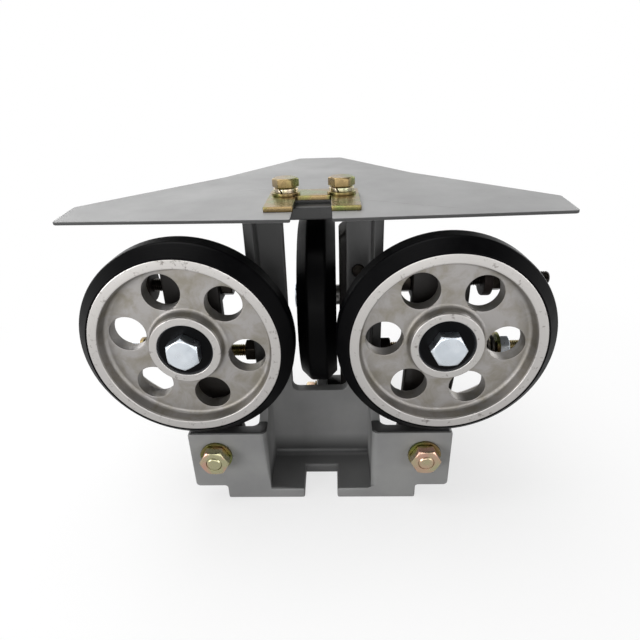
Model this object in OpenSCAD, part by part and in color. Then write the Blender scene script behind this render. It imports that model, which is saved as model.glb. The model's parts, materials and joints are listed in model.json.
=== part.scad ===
// Roller guide shoe for an elevator: cast frame, three sprung swing arms, three rollers, sheet dust cover.
// Origin: centre of the four mounting holes, on the underside of the base plate. +Z runs up along the rail,
// -Y faces the rail, X runs across the rail's blade. Millimetres.

/* [Rollers] */
// Diameter over the tyre
tyre_d = 125; // [110:1:135]
// Outer diameter of the aluminium rim, under the tyre
rim_d = 110; // [96:1:116]
// Width of the rim
wheel_w = 25; // [23:0.5:27]
// Width of the flat tread
tread_w = 11.5; // [8:0.5:14]
// Radial thickness of the rim ring at its face
rim_t = 5.4; // [4:0.2:7]
// Thickness of the web
web_t = 9; // [6:0.5:11]
// Diameter of the hub boss
boss_d = 41.2; // [39:0.2:46]
// How far the boss stands back from the rim face
boss_recess = 0.8; // [0.4:0.1:1.5]
// Number of round holes in the web
hole_count = 6; // [4:1:6]
// Diameter of the web holes
hole_d = 21.5; // [14:0.5:22]
// Radius of the circle that the web holes sit on
hole_ring_r = 34.9; // [34:0.1:35.5]
// Turn of the right roller's hole pattern, degrees
right_phase = 56.5; // [0:0.5:60]
// Turn of the left roller's hole pattern, degrees
left_phase = 12.75; // [0:0.25:60]

/* [Bearings and axle] */
// Bearing outside diameter
bearing_d = 32; // [30:1:34]
// Bearing width
bearing_w = 10; // [9:0.5:10.5]
// Axle diameter
axle_d = 12; // [10:0.5:13]
// Axle bolt hexagon across flats
axle_af = 18; // [16:0.5:19]
// Axle bolt head height
axle_head_h = 7.5; // [6:0.5:8]
// Axle nut height
axle_nut_h = 10.8; // [8:0.2:12]
// Depth of the bearing face below the boss face
bearing_recess = 1.8; // [1.5:0.1:2.2]
// Gap between the two bearings of a roller
bearing_gap = 0.6; // [0.4:0.1:0.8]

/* [Layout] */
// Gap between the base plate and the pivot boss of the nose arm
pivot_boss_gap = 9; // [8:0.5:12]
// Gap between a tyre and the pivot boss under it
boss_tyre_gap = 6.5; // [5:0.5:10]
// Distance of the side rollers' treads from the rail's centre plane
side_tread_x = 11.9; // [9:0.1:14]
// Distance of the side rollers' middle plane in front of the origin
side_plane = 33.5; // [32.5:0.1:35]
// Distance of the nose roller's tread in front of the origin
nose_tread_y = 15; // [12:0.5:16]
// How much lower the nose roller sits than the side rollers
nose_drop = 6.5; // [5:0.5:7.5]

/* [Swing arms] */
// How far the pivot lies inward of the axle
pivot_offset = 6.4; // [4:0.2:9]
// Pivot bolt diameter
pivot_d = 10; // [8:0.5:11]
// Pivot nut across flats
pivot_af = 17; // [16:0.5:18]
// Pivot nut height
pivot_nut_h = 7; // [6:0.2:9]
// Pivot bolt head height
pivot_head_h = 6.4; // [5:0.2:7]
// Gap between roller and arm plate
arm_gap = 2.5; // [2:0.1:4]
// Thickness of the arm plate
arm_t = 8; // [6:0.5:9]
// Width of the arm at the axle
arm_w = 34; // [30:1:38]
// Diameter of the pivot boss
pivot_boss_d = 30; // [27:1:32]
// Height of the arms' top edge above the side axles
arm_head = 47.5; // [46:0.5:51]

/* [Springs and rods] */
// Gap between a spring lug and the axle washer over it
spring_lug_gap = 1.5; // [1:0.5:5]
// Gap between the axle washer and the stop lug of a side arm
stop_lug_gap = 3.5; // [1:0.5:6]
// Gap between the axle washer and the stop lug of the nose arm
nose_stop_lug_gap = 14; // [8:0.5:15]
// Rod diameter
rod_d = 8; // [7:0.5:8.5]
// Rod nut across flats
rod_af = 13; // [12:0.5:14]
// Rod nut height
rod_nut_h = 6.8; // [5:0.2:7]
// Distance of the rods behind the arm plate
rod_stand = 3.6; // [3:0.2:5]
// Spring outside diameter
spring_od = 18; // [16:0.5:20]
// Spring wire diameter
spring_wire = 2.5; // [1.6:0.1:2.8]
// Spring length as fitted
spring_len = 20; // [18:1:26]
// Spring turns
spring_turns = 5; // [4:1:5]
// Thickness of the spring washers
seat_t = 2; // [1.5:0.1:2.5]
// Free rod beyond the spring nut
spring_rod_end = 9; // [6:1:14]
// Diameter of the rubber stop buffers
buffer_d = 20; // [18:0.5:20]
// Thickness of a stop buffer
buffer_t = 5.4; // [4:0.2:7]
// Free travel between an arm's lug and its buffer
buffer_gap = 8.2; // [8:0.1:10]
// Free rod between a side's anchor nut and stop nut
stop_nut_gap = 3.8; // [2:0.1:6]
// Free rod beyond the keeper nut
stop_rod_end = 28; // [20:1:30]
// How much shorter the left stop rod stands out
left_rod_cut = 9; // [0:0.5:12]

/* [Frame] */
// Thickness of the base plate
base_t = 8; // [6:0.5:10]
// Width of the base plate
base_w = 128; // [124:1:132]
// Distance of the base plate's back edge behind the origin
base_back = 27; // [26:0.5:32]
// Overall width across the two pivot ears
ear_span = 171; // [168:1:176]
// Gap between the side tyres and the ears' top edge
ear_gap = 3.5; // [2:0.5:6]
// Height of the ears' lower edge
ear_bottom = 11; // [10:0.5:14]
// Thickness of an ear
ear_t = 8; // [6:0.5:9]
// Thickness of the channel sides
side_t = 6; // [5:0.5:7]
// Thickness of the back wall
back_t = 8; // [6:0.5:10]
// Distance of the posts' front edge in front of the back wall
post_reach = 16; // [14.5:0.5:18]
// Gap between the side tyres and the cover on the posts
cover_gap = 7.5; // [4:0.5:12]
// Width of the window for the nose roller
window_w = 38; // [34:0.5:42]
// Gap between the nose tyre and the window's lower edge
window_gap = 4.1; // [2:0.1:6]
// Height of the bridge between the posts
bridge_h = 8; // [6:0.5:10]
// Depth of the bridge, front to back
bridge_d = 22; // [20:0.5:24]
// Width of the rail slot in the base
slot_w = 22.4; // [20:0.2:24]
// Length of the rail slot from the front edge
slot_l = 24; // [20:0.5:28]
// Distance of the mounting holes from the base plate's side edges
mount_inset = 12; // [10:0.5:13]
// Distance between mounting holes, front to back
mount_y = 32; // [28:1:34]
// Mounting hole diameter
mount_d = 13; // [9:0.5:14]
// Length of the rear tongue behind the base plate
tongue_l = 39; // [36:1:44]

/* [Dust cover and retainer plate] */
// Thickness of the cover sheet
cover_t = 2; // [1.2:0.1:2.5]
// Largest width of the cover
cover_w = 289; // [282:1:296]
// Width of the cover's front edge
cover_front_w = 280; // [270:1:281]
// Distance of the front edge in front of the origin
cover_front = 35.5; // [34:0.5:40]
// Distance of the rear edge behind the origin
cover_back = 182.5; // [170:0.5:190]
// Width of the rear edge
cover_back_w = 38; // [30:1:60]
// Width of the rail notch in the cover
notch_w = 22; // [21:0.1:23]
// Thickness of the retainer plate
retainer_t = 3; // [2:0.5:4]
// Width of the retainer plate
retainer_w = 54; // [50:1:58]
// Reach of the retainer plate in front of the origin
retainer_front = 20.4; // [18:0.1:28]
// Reach of the retainer plate behind the origin
retainer_back = 26.5; // [20:0.5:32]
// Width of the rail gap in the retainer plate
retainer_gap = 21; // [19:0.1:21]
// Distance between the cover bolts
cover_bolt_x = 33.4; // [30:0.2:36]
// Cover bolt diameter
cover_bolt_d = 8; // [6:0.5:8.5]
// Cover bolt hexagon across flats
cover_bolt_af = 14; // [12:0.5:14]
// Cover bolt head height
cover_bolt_head = 5.8; // [4:0.1:6]
// Cover bolt length under the head
cover_bolt_l = 16; // [15:0.5:16.5]

/* [Clearances] */
// Radial play of a turning fit
run_play = 0.05; // [0.02:0.01:0.1]
// Radial play of a threaded or pressed fit
fixed_play = 0.03; // [0.01:0.01:0.05]
// End play of an arm on its pivot
end_play = 0.3; // [0.2:0.05:0.5]
// Radial play of a bolt in a clearance hole
bolt_play = 0.5; // [0.3:0.1:0.8]
// Radial play of a rod in its lug, enough for the swing
lug_play = 1.9; // [1.8:0.1:2.2]

/* [Hidden] */
$fn = 64;
arc_steps = 8;
sides = ["left", "right", "nose"];
rods = ["spring", "stop"];

// Heights above the underside, built up from the base plate
tyre_r = tyre_d / 2;
pivot_h = base_t + pivot_boss_gap + pivot_boss_d / 2 + nose_drop;
axle_h = pivot_h + pivot_boss_d / 2 + boss_tyre_gap + tyre_r;
arm_top = axle_h + arm_head;
ear_top = axle_h - tyre_r - ear_gap;
post_top = axle_h + tyre_r + cover_gap;

// Roller, measured along the axle from the roller's middle plane
rim_r = rim_d / 2;
half_w = wheel_w / 2;
boss_half = half_w - boss_recess;
bearing_front = -boss_half + bearing_recess;
bearing_second = bearing_front + bearing_w + bearing_gap;
bearing_back = bearing_second + bearing_w;
inner_ring_wall = 2.6;
inner_ring_r = axle_d / 2 + inner_ring_wall;
bearing_lip = 2;

// Arm, measured along the axle from the roller's middle plane
arm_front = half_w + arm_gap;
arm_back = arm_front + arm_t;
rod_v = arm_back + rod_stand;
ear_back_v = ear_t / 2 + 0.5;
ear_front_v = ear_back_v - ear_t;
pivot_washer_t = 2;
sleeve_wall = 3;
bush_wall = 2;
sleeve_r = pivot_d / 2 + fixed_play + sleeve_wall;
bush_r = sleeve_r + run_play + bush_wall;
boss_front_v = ear_back_v + end_play;
boss_back_v = arm_back + 2.6;
sleeve_back_v = boss_back_v + end_play;
pivot_washer_d = pivot_af * 1.24;
pivot_tail = 0.6;
axle_washer_t = 2.5;
axle_washer_r = axle_af * 2 / 3;
axle_tail = 3;
spacer_r = axle_d / 2 + 1.5;

// Outward positions, measured from the rail's centre plane of a side roller
axle_u = tyre_r + side_tread_x;
pivot_u = axle_u - pivot_offset;
lug_in = axle_u - arm_w / 2;
lug_out = axle_u + arm_w / 2;
lug_half_h = spring_od / 2 - 1;
stop_lug_half_h = lug_half_h + 2;
lug_wall = 3;
lug_bore_r = rod_d / 2 + lug_play;
// A lug's bore also clears the plate, whose edge slants out by the pivot's offset
bore_over = pivot_offset + 1;
spring_h = axle_h - axle_washer_r - spring_lug_gap - lug_half_h;
side_stop_h = axle_h + axle_washer_r + stop_lug_gap + stop_lug_half_h;
nose_stop_h = axle_h + axle_washer_r + nose_stop_lug_gap + stop_lug_half_h;
lug_back = rod_v + lug_bore_r + lug_wall;
rod_r = rod_d / 2;
spring_start = lug_out + seat_t;
spring_end = spring_start + spring_len;
spring_nut_u = spring_end + seat_t;
spring_rod_tip = spring_nut_u + rod_nut_h + spring_rod_end;
buffer_u = lug_out + buffer_gap;
keeper_nut_u = buffer_u + buffer_t;
stop_rod_tip = keeper_nut_u + rod_nut_h + stop_rod_end;
seat_r = spring_od / 2 + 0.5;

// Frame, in the part's own axes
nose_axle_y = tyre_r - nose_tread_y;
nose_shift = nose_axle_y - axle_u;
front_y = -side_plane + ear_front_v;
ear_back_y = -side_plane + ear_back_v;
channel_half = lug_in - 2 * rod_nut_h - stop_nut_gap - side_t;
post_half = channel_half + side_t;
post_front_y = -post_reach;
bridge_bottom = post_top - bridge_h;
nose_chord = sqrt(pow(tyre_r, 2) - pow(nose_axle_y - back_t, 2));
window_bottom = axle_h - nose_drop - nose_chord - window_gap;
mount_x = base_w - 2 * mount_inset;
post_fillet = 14;
ear_fillet = 5;
tongue_half = channel_half;
tongue_back = base_back + tongue_l;
lug_foot_back = nose_axle_y - pivot_offset + pivot_boss_d / 2 + 3;
nose_lug_top = ear_top - nose_drop;

// Stack on the posts
cover_top = post_top + cover_t;
retainer_top = cover_top + retainer_t;
washer_t = 1.8;
washer_r = cover_bolt_af * 0.62;
washer_play = 0.2;
spring_washer_t = 2.4;
spring_washer_r = cover_bolt_af * 0.53;
head_base = retainer_top + washer_t + spring_washer_t;
bolt_y = 12;
notch_end = bolt_y - 4;
retainer_gap_end = bolt_y - 4.7;

// Outline with rounded corners: each corner is [x, y, radius], a radius of 0 leaves it sharp
function unit(v) = v / norm(v);
function corner_arc(a, b, c) =
    let (to_a = unit([a.x - b.x, a.y - b.y]), to_c = unit([c.x - b.x, c.y - b.y]))
    let (half = acos(max(-1, min(1, to_a * to_c))) / 2)
    let (centre = [b.x, b.y] + unit(to_a + to_c) * b.z / sin(half))
    let (from = [b.x, b.y] + to_a * b.z / tan(half) - centre)
    let (upto = [b.x, b.y] + to_c * b.z / tan(half) - centre)
    let (start = atan2(from.y, from.x), turn = atan2(from.x * upto.y - from.y * upto.x, from * upto))
    [for (i = [0 : arc_steps]) let (a = start + turn * i / arc_steps) centre + b.z * [cos(a), sin(a)]];
function rounded(p) = [for (i = [0 : len(p) - 1])
    each p[i].z == 0
        ? [[p[i].x, p[i].y]]
        : corner_arc(p[(i + len(p) - 1) % len(p)], p[i], p[(i + 1) % len(p)])];

// A half outline on the +X side, closed across the middle by its mirror image
function mirrored(p) = concat(p, [for (i = [len(p) - 1 : -1 : 0]) [-p[i].x, p[i].y, p[i].z]]);

// Height of a station's spring rod or stop rod, and of its arm's top edge
function rod_h(side, rod) = rod == "spring" ? spring_h : side == "nose" ? nose_stop_h : side_stop_h;
function head_h(side) = side == "nose" ? arm_top + nose_drop : arm_top;

// Puts a piece drawn for the right side, [outward, along the axle, up], on one of the three stations
module station(side) {
    if (side == "right") translate([0, -side_plane, 0]) children();
    if (side == "left") mirror([1, 0, 0]) translate([0, -side_plane, 0]) children();
    if (side == "nose") translate([0, nose_shift, -nose_drop]) rotate([0, 0, -90]) mirror([1, 0, 0])
        children();
}

// Turns a piece made along Z so that it runs along the axle, or outward along a rod
module along_axle() rotate([-90, 0, 0]) children();
module along_rod() rotate([0, 90, 0]) children();

// Ring or disc made along Z
module ring(r_out, r_in, h) difference() {
    cylinder(r = r_out, h = h);
    translate([0, 0, -1]) cylinder(r = r_in, h = h + 2);
}

// Hexagon with its corners turned off at 30 degrees, on one face or on both
module hexagon(af, h, both = false) {
    corner_r = af / sqrt(3);
    face_r = af * 0.475;
    drop = (corner_r - face_r) * tan(30);
    intersection() {
        cylinder(r = corner_r, h = h, $fn = 6);
        rotate_extrude() polygon([[0, 0], [both ? face_r : corner_r, 0], [corner_r, both ? drop : 0],
            [corner_r, h - drop], [face_r, h], [0, h]]);
    }
}
module nut(af, h, bore_r) difference() {
    hexagon(af, h, true);
    translate([0, 0, -1]) cylinder(r = bore_r, h = h + 2);
}

// Stud or bolt shank with a turned lead at its far end
module shank(r, l) {
    lead = r / 5;
    rotate_extrude() polygon([[0, 0], [r, 0], [r, l - lead], [r - lead, l], [0, l]]);
}

// Where the rods of a station are screwed in: [inner end, outer face of the wall]
function wall_u(side) = side == "nose"
    ? [-nose_shift, back_t - nose_shift]
    : [channel_half, post_half];

// Cast frame

module wall_outline(p, w) rotate([90, 0, 90]) translate([0, 0, -w / 2]) linear_extrude(w) polygon(p);
module front_outline(p, t) rotate([90, 0, 0]) mirror([0, 0, 1]) linear_extrude(t) polygon(p);

module channel_side() {
    translate([channel_half + side_t / 2, 0, 0]) wall_outline(rounded([
        [front_y, 0, 0], [back_t, 0, 0], [back_t, post_top, 0], [post_front_y, post_top, 0],
        [post_front_y, ear_top, post_fillet], [front_y, ear_top, 0]]), side_t);
}

module ear() {
    half = ear_span / 2;
    translate([0, front_y, 0]) front_outline(rounded([
        [channel_half, 0, 0], [base_w / 2, 0, 3], [base_w / 2, ear_bottom, 2], [half, ear_bottom, 3],
        [half, ear_top, 3], [channel_half, ear_top, 0]]), ear_t);
}

// Cast fillet in the corner between an ear and the channel side
module ear_corner() {
    translate([post_half, ear_back_y, 0]) linear_extrude(ear_top) polygon(rounded([
        [-1, -1, 0], [ear_fillet, -1, 0], [ear_fillet, 0, 0], [0, 0, ear_fillet * 0.95], [0, ear_fillet, 0],
        [-1, ear_fillet, 0]]));
}

module base_plate() {
    difference() {
        linear_extrude(base_t) polygon(rounded(mirrored([
            [base_w / 2, front_y, 0], [base_w / 2, base_back, 8], [tongue_half, base_back, 6],
            [tongue_half, tongue_back, 8]])));
        translate([-slot_w / 2, front_y - 1, -1]) cube([slot_w, slot_l + 1, base_t + 2]);
    }
}

module back_wall() {
    front_outline(rounded(mirrored([[post_half, 0, 0], [post_half, post_top, 0]])), back_t);
    translate([0, 0, base_t]) wall_outline(rounded([
        [1, -1, 0], [1, 5, 0], [0, 5, 0], [0, 0, 4.5], [-5, 0, 0], [-5, -1, 0]]), 2 * channel_half);
}

module window() {
    translate([0, -1, 0]) front_outline(rounded(mirrored([
        [window_w / 2, window_bottom, 4.5], [window_w / 2, bridge_bottom, 3]])), back_t + 2);
}

module bridge() {
    translate([-post_half, 0, bridge_bottom]) cube([2 * post_half, bridge_d, bridge_h]);
}

// Lug behind the back wall on which the nose arm swings, also a rib of the wall
module nose_lug() {
    translate([(ear_front_v + ear_back_v) / 2, 0, 0]) wall_outline(rounded([
        [back_t - 1, 0, 0], [lug_foot_back, 0, 0], [lug_foot_back, nose_lug_top, pivot_boss_d / 2],
        [back_t - 1, nose_lug_top, 0]]), ear_t);
}

module base_frame() {
    color("dimgray") difference() {
        union() {
            base_plate();
            back_wall();
            bridge();
            nose_lug();
            for (s = [0, 1]) mirror([s, 0, 0]) {
                channel_side();
                ear();
                ear_corner();
            }
        }
        window();
        for (s = sides) station(s) {
            translate([pivot_u, ear_front_v - 1, pivot_h]) along_axle()
                cylinder(r = pivot_d / 2 + fixed_play, h = ear_t + 2);
            for (rod = rods) translate([wall_u(s)[0] - 1, rod_v, rod_h(s, rod)]) along_rod()
                cylinder(r = rod_r + fixed_play, h = wall_u(s)[1] - wall_u(s)[0] + 2);
        }
        for (x = [-mount_x / 2, mount_x / 2]) {
            for (y = [-mount_y / 2, mount_y / 2]) translate([x, y, -1]) cylinder(d = mount_d, h = base_t + 2);
        }
        for (x = [-cover_bolt_x / 2, cover_bolt_x / 2]) translate([x, bolt_y, bridge_bottom - 1])
            cylinder(r = cover_bolt_d / 2 + fixed_play, h = bridge_h + 2);
    }
}

// Dust cover and retainer plate

module cover_bolt_holes() {
    for (x = [-cover_bolt_x / 2, cover_bolt_x / 2]) translate([x, bolt_y, post_top - 1])
        cylinder(r = cover_bolt_d / 2 + bolt_play, h = cover_t + retainer_t + 2);
}

module dust_cover() {
    wing_rake = 5.5;
    wing_back = 4.7;
    waist = [70, 95];
    color("darkgray") difference() {
        translate([0, 0, post_top]) linear_extrude(cover_t) polygon(rounded(mirrored([
            [notch_w / 2, notch_end, 2], [notch_w / 2, -cover_front, 1],
            [cover_front_w / 2, wing_rake - cover_front, 3], [cover_w / 2, wing_back, 4],
            [waist.x, waist.y, 30], [cover_back_w / 2, cover_back, 3]])));
        cover_bolt_holes();
    }
}

module retainer_plate() {
    half = retainer_w / 2;
    gap = retainer_gap / 2;
    color("darkkhaki") difference() {
        translate([0, 0, cover_top]) linear_extrude(retainer_t) polygon(rounded(mirrored([
            [gap, retainer_gap_end, 2], [gap, -retainer_front, 0.8], [half, -retainer_front, 0.8],
            [half, retainer_back, 0.8]])));
        cover_bolt_holes();
    }
}

module at_cover_bolts(z) for (x = [-cover_bolt_x / 2, cover_bolt_x / 2]) translate([x, bolt_y, z]) children();

// Hexagon bolts, each head on a turned washer face
module cover_bolts() {
    face_t = 0.6;
    color("darkkhaki") at_cover_bolts(head_base) {
        cylinder(d = cover_bolt_af * 0.9, h = face_t);
        translate([0, 0, face_t]) hexagon(cover_bolt_af, cover_bolt_head - face_t);
        mirror([0, 0, 1]) shank(cover_bolt_d / 2, cover_bolt_l);
    }
}

// Split spring washer: a ring with a slanted saw cut
module cover_spring_washers() {
    color("khaki") at_cover_bolts(retainer_top + washer_t) difference() {
        ring(spring_washer_r, cover_bolt_d / 2 + washer_play, spring_washer_t);
        rotate([0, 0, 250]) translate([cover_bolt_af / 2, 0, spring_washer_t / 2]) rotate([30, 0, 0])
            cube([cover_bolt_af, 0.8, 4 * spring_washer_t], center = true);
    }
}

module cover_washers() {
    color("darkkhaki") at_cover_bolts(retainer_top) ring(washer_r, cover_bolt_d / 2 + washer_play, washer_t);
}

// Pivots

module pivot_bolt(side) {
    head_v = sleeve_back_v + pivot_washer_t;
    tip_v = ear_front_v - pivot_washer_t - pivot_nut_h - pivot_tail;
    color("tan") station(side) translate([pivot_u, head_v, pivot_h]) along_axle() {
        hexagon(pivot_af, pivot_head_h);
        mirror([0, 0, 1]) shank(pivot_d / 2, head_v - tip_v);
    }
}

module at_pivots(v) for (s = sides) station(s) translate([pivot_u, v, pivot_h]) along_axle() children();

module pivot_nuts() {
    color("tan") at_pivots(ear_front_v - pivot_washer_t - pivot_nut_h)
        nut(pivot_af, pivot_nut_h, pivot_d / 2 + fixed_play);
}

module pivot_washers() {
    color("tan") at_pivots(ear_front_v - pivot_washer_t)
        ring(pivot_washer_d / 2, pivot_d / 2 + fixed_play, pivot_washer_t);
}

module pivot_head_washers() {
    color("tan") at_pivots(sleeve_back_v) ring(pivot_washer_d / 2, pivot_d / 2 + fixed_play, pivot_washer_t);
}

module pivot_sleeves() {
    color("silver") at_pivots(ear_back_v)
        ring(sleeve_r, pivot_d / 2 + fixed_play, sleeve_back_v - ear_back_v);
}

// Rods, nuts and springs

module spring_rod(side) {
    start = wall_u(side)[0];
    color("goldenrod") station(side) translate([start, rod_v, spring_h]) along_rod()
        shank(rod_r, spring_rod_tip - start);
}

module stop_rod(side) {
    start = wall_u(side)[0];
    cut = side == "left" ? left_rod_cut : 0;
    color("dimgray") station(side) translate([start, rod_v, rod_h(side, "stop")]) along_rod()
        shank(rod_r, stop_rod_tip - cut - start);
}

module rod_nut() nut(rod_af, rod_nut_h, rod_r + fixed_play);

module rod_anchor_nuts() {
    color("dimgray") for (s = sides, rod = rods)
        station(s) translate([wall_u(s)[1], rod_v, rod_h(s, rod)]) along_rod() rod_nut();
}

module at_rods(u, rod) for (s = sides) station(s) translate([u, rod_v, rod_h(s, rod)]) along_rod() children();

// Nut inside the lug that holds the arm off the rail, and nut that keeps the buffer
module stop_nuts() {
    color("dimgray") for (u = [lug_in - rod_nut_h, keeper_nut_u]) at_rods(u, "stop") rod_nut();
}

module stop_buffers() {
    color("#2b211d") at_rods(buffer_u, "stop") ring(buffer_d / 2, rod_r + fixed_play, buffer_t);
}

module spring_nuts() {
    color("gainsboro") at_rods(spring_nut_u, "spring") rod_nut();
}

module spring_end_washers() {
    color("goldenrod") at_rods(spring_end, "spring") ring(seat_r, rod_r + fixed_play, seat_t);
}

// Coil along Z whose first and last turns lie close, as on a squared end
module coil(od, wire, l, turns) {
    ring_sides = 8;
    steps = 16;
    count = turns * steps;
    mean_r = (od - wire) / 2;
    live = l - 3 * wire;
    function rise(t) = wire / 2 + wire * min(t, 1) + live * min(max((t - 1) / (turns - 2), 0), 1)
        + wire * max(t - turns + 1, 0);
    points = [for (i = [0 : count], k = [0 : ring_sides - 1])
        let (t = i / steps, a = 360 * t, b = 360 * (k + 0.5) / ring_sides)
        [(mean_r + wire / 2 * cos(b)) * cos(a), (mean_r + wire / 2 * cos(b)) * sin(a),
            rise(t) + wire / 2 * sin(b)]];
    skin = [for (i = [0 : count - 1], k = [0 : ring_sides - 1])
        let (n = (k + 1) % ring_sides, a = i * ring_sides, b = (i + 1) * ring_sides)
        [a + k, b + k, b + n, a + n]];
    start_cap = [for (k = [0 : ring_sides - 1]) k];
    end_cap = [for (k = [ring_sides - 1 : -1 : 0]) count * ring_sides + k];
    polyhedron(points, concat(skin, [start_cap], [end_cap]));
}

module spring(side) {
    color("darkslategray") station(side) translate([spring_start, rod_v, spring_h]) along_rod()
        coil(spring_od, spring_wire, spring_len, spring_turns);
}

// Swing arms

// Flat bar between two round ends, tangent to both
module bar(a, ra, b, rb) {
    d = norm(b - a);
    base = atan2(b.y - a.y, b.x - a.x);
    lean = acos((ra - rb) / d);
    translate(a) circle(r = ra);
    translate(b) circle(r = rb);
    polygon([for (e = [[a, ra, lean], [b, rb, lean], [b, rb, -lean], [a, ra, -lean]])
        e[0] + e[1] * [cos(base + e[2]), sin(base + e[2])]]);
}

module arm_plate(side) {
    head_round = 8;
    half = arm_w / 2;
    translate([0, arm_front, 0]) front_outline(rounded([
        [axle_u - half, axle_h, 0], [axle_u + half, axle_h, 0], [axle_u + half, head_h(side), head_round],
        [axle_u - half, head_h(side), head_round]]), arm_t);
    translate([0, arm_front, 0]) rotate([90, 0, 0]) mirror([0, 0, 1]) linear_extrude(arm_t)
        bar([pivot_u, pivot_h], pivot_boss_d / 2, [axle_u, axle_h], arm_w / 2);
}

// Block behind the plate with the clearance hole for a rod
module rod_lug(h, half_h) {
    translate([lug_in, arm_front, h - half_h]) cube([arm_w, lug_back - arm_front, 2 * half_h]);
}

// Slanted edge along the top of the plate, on the roller's side
module head_chamfer(side) {
    size = 6;
    translate([axle_u, arm_front, head_h(side)]) rotate([45, 0, 0])
        cube([arm_w + 2, size * sqrt(2), size * sqrt(2)], center = true);
}

module arm(side) {
    color("#3a302c") station(side) difference() {
        union() {
            arm_plate(side);
            translate([pivot_u, boss_front_v, pivot_h]) along_axle()
                cylinder(r = pivot_boss_d / 2, h = boss_back_v - boss_front_v);
            rod_lug(spring_h, lug_half_h);
            rod_lug(rod_h(side, "stop"), stop_lug_half_h);
        }
        head_chamfer(side);
        translate([pivot_u, boss_front_v - 1, pivot_h]) along_axle()
            cylinder(r = bush_r + fixed_play, h = boss_back_v - boss_front_v + 2);
        translate([axle_u, arm_front - 1, axle_h]) along_axle()
            cylinder(r = axle_d / 2 + fixed_play, h = arm_t + 2);
        for (rod = rods) translate([lug_in - bore_over, rod_v, rod_h(side, rod)]) along_rod()
            cylinder(r = lug_bore_r, h = arm_w + 2 * bore_over);
    }
}

module arm_bush(side) {
    color("peru") station(side) translate([pivot_u, boss_front_v, pivot_h]) along_axle()
        ring(bush_r, sleeve_r + run_play, boss_back_v - boss_front_v);
}

module spring_seat(side) {
    color("goldenrod") station(side) translate([lug_out, rod_v, spring_h]) along_rod()
        ring(seat_r, lug_bore_r, seat_t);
}

// Axles and rollers, made along Z from the roller's middle plane

module on_axle(side, v = 0) station(side) translate([axle_u, v, axle_h]) along_axle() children();

module axle_bolt(side) {
    tip_v = arm_back + axle_washer_t + axle_nut_h + axle_tail;
    head_turn = side == "right" ? 0 : 30;
    color("lightgray") on_axle(side, bearing_front) {
        rotate([0, 0, head_turn]) mirror([0, 0, 1]) hexagon(axle_af, axle_head_h);
        shank(axle_d / 2, tip_v - bearing_front);
    }
}

module axle_spacer(side) {
    color("silver") on_axle(side, bearing_back)
        ring(spacer_r, axle_d / 2 + fixed_play, arm_front - bearing_back);
}

module axle_washer(side) {
    color("silver") on_axle(side, arm_back) ring(axle_washer_r, axle_d / 2 + fixed_play, axle_washer_t);
}

module axle_nut(side) {
    color("silver") on_axle(side, arm_back + axle_washer_t) nut(axle_af, axle_nut_h, axle_d / 2 + fixed_play);
}

module bearing_inner_rings(side) {
    color("silver") on_axle(side) for (v = [bearing_front, bearing_second])
        translate([0, 0, v]) ring(inner_ring_r, axle_d / 2 + fixed_play, bearing_w);
}

module bearings(side) {
    color("#1c1c1e") on_axle(side) for (v = [bearing_front, bearing_second])
        translate([0, 0, v]) ring(bearing_d / 2, inner_ring_r + run_play, bearing_w);
}

// Cast wheel: boss, web and rim in one section, with drafted sides and cast fillets
module hub(side) {
    phase = side == "left" ? left_phase : right_phase;
    boss_r = boss_d / 2;
    draft = 1.2;
    web = web_t / 2;
    rim_in = rim_r - rim_t;
    bore_r = bearing_d / 2 + fixed_play;
    lip_r = bearing_d / 2 - bearing_lip;
    half_section = [[boss_r, boss_half, 0.6], [boss_r + draft, web, 2.5], [rim_in - draft, web, 2.5],
        [rim_in, half_w, 0.6], [rim_r, half_w, 0]];
    front = [for (p = half_section) [p.x, -p.y, p.z]];
    back = [for (i = [len(half_section) - 1 : -1 : 0]) half_section[i]];
    bore = [[lip_r, boss_half, 0], [lip_r, bearing_back, 0], [bore_r, bearing_back, 0],
        [bore_r, -boss_half, 0.6]];
    color("lightslategray") on_axle(side) difference() {
        rotate_extrude($fn = 128) polygon(rounded(concat(front, back, bore)));
        for (i = [0 : hole_count - 1]) rotate([0, 0, -phase - 360 * i / hole_count])
            translate([hole_ring_r, 0, -half_w]) cylinder(d = hole_d, h = wheel_w);
    }
}

module tyre(side) {
    tread = tread_w / 2;
    foot_r = rim_r + 0.8;
    color("#151517") on_axle(side) rotate_extrude($fn = 128) polygon(rounded([
        [rim_r + fixed_play, -half_w, 0], [foot_r, -half_w, 0.5], [tyre_r, -tread, 3],
        [tyre_r, tread, 3], [foot_r, half_w, 0.5], [rim_r + fixed_play, half_w, 0]]));
}

base_frame();
dust_cover();
retainer_plate();
cover_bolts();
cover_spring_washers();
cover_washers();
pivot_nuts();
pivot_washers();
pivot_head_washers();
pivot_sleeves();
rod_anchor_nuts();
stop_nuts();
stop_buffers();
spring_nuts();
spring_end_washers();
for (s = sides) {
    pivot_bolt(s);
    spring_rod(s);
    stop_rod(s);
    spring(s);
    arm(s);
    arm_bush(s);
    axle_bolt(s);
    axle_spacer(s);
    axle_washer(s);
    axle_nut(s);
    bearing_inner_rings(s);
    spring_seat(s);
    hub(s);
    tyre(s);
    bearings(s);
}
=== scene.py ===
"""Looks of a three-roller elevator guide shoe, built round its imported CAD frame.

The rail runs along Z and its blade comes in from -Y. Places are in metres in the CAD frame, and sizes in
millimetres are named so and multiplied by MM.
"""

import json
import math

import bmesh
import bpy
from mathutils import Matrix, Vector


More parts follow.
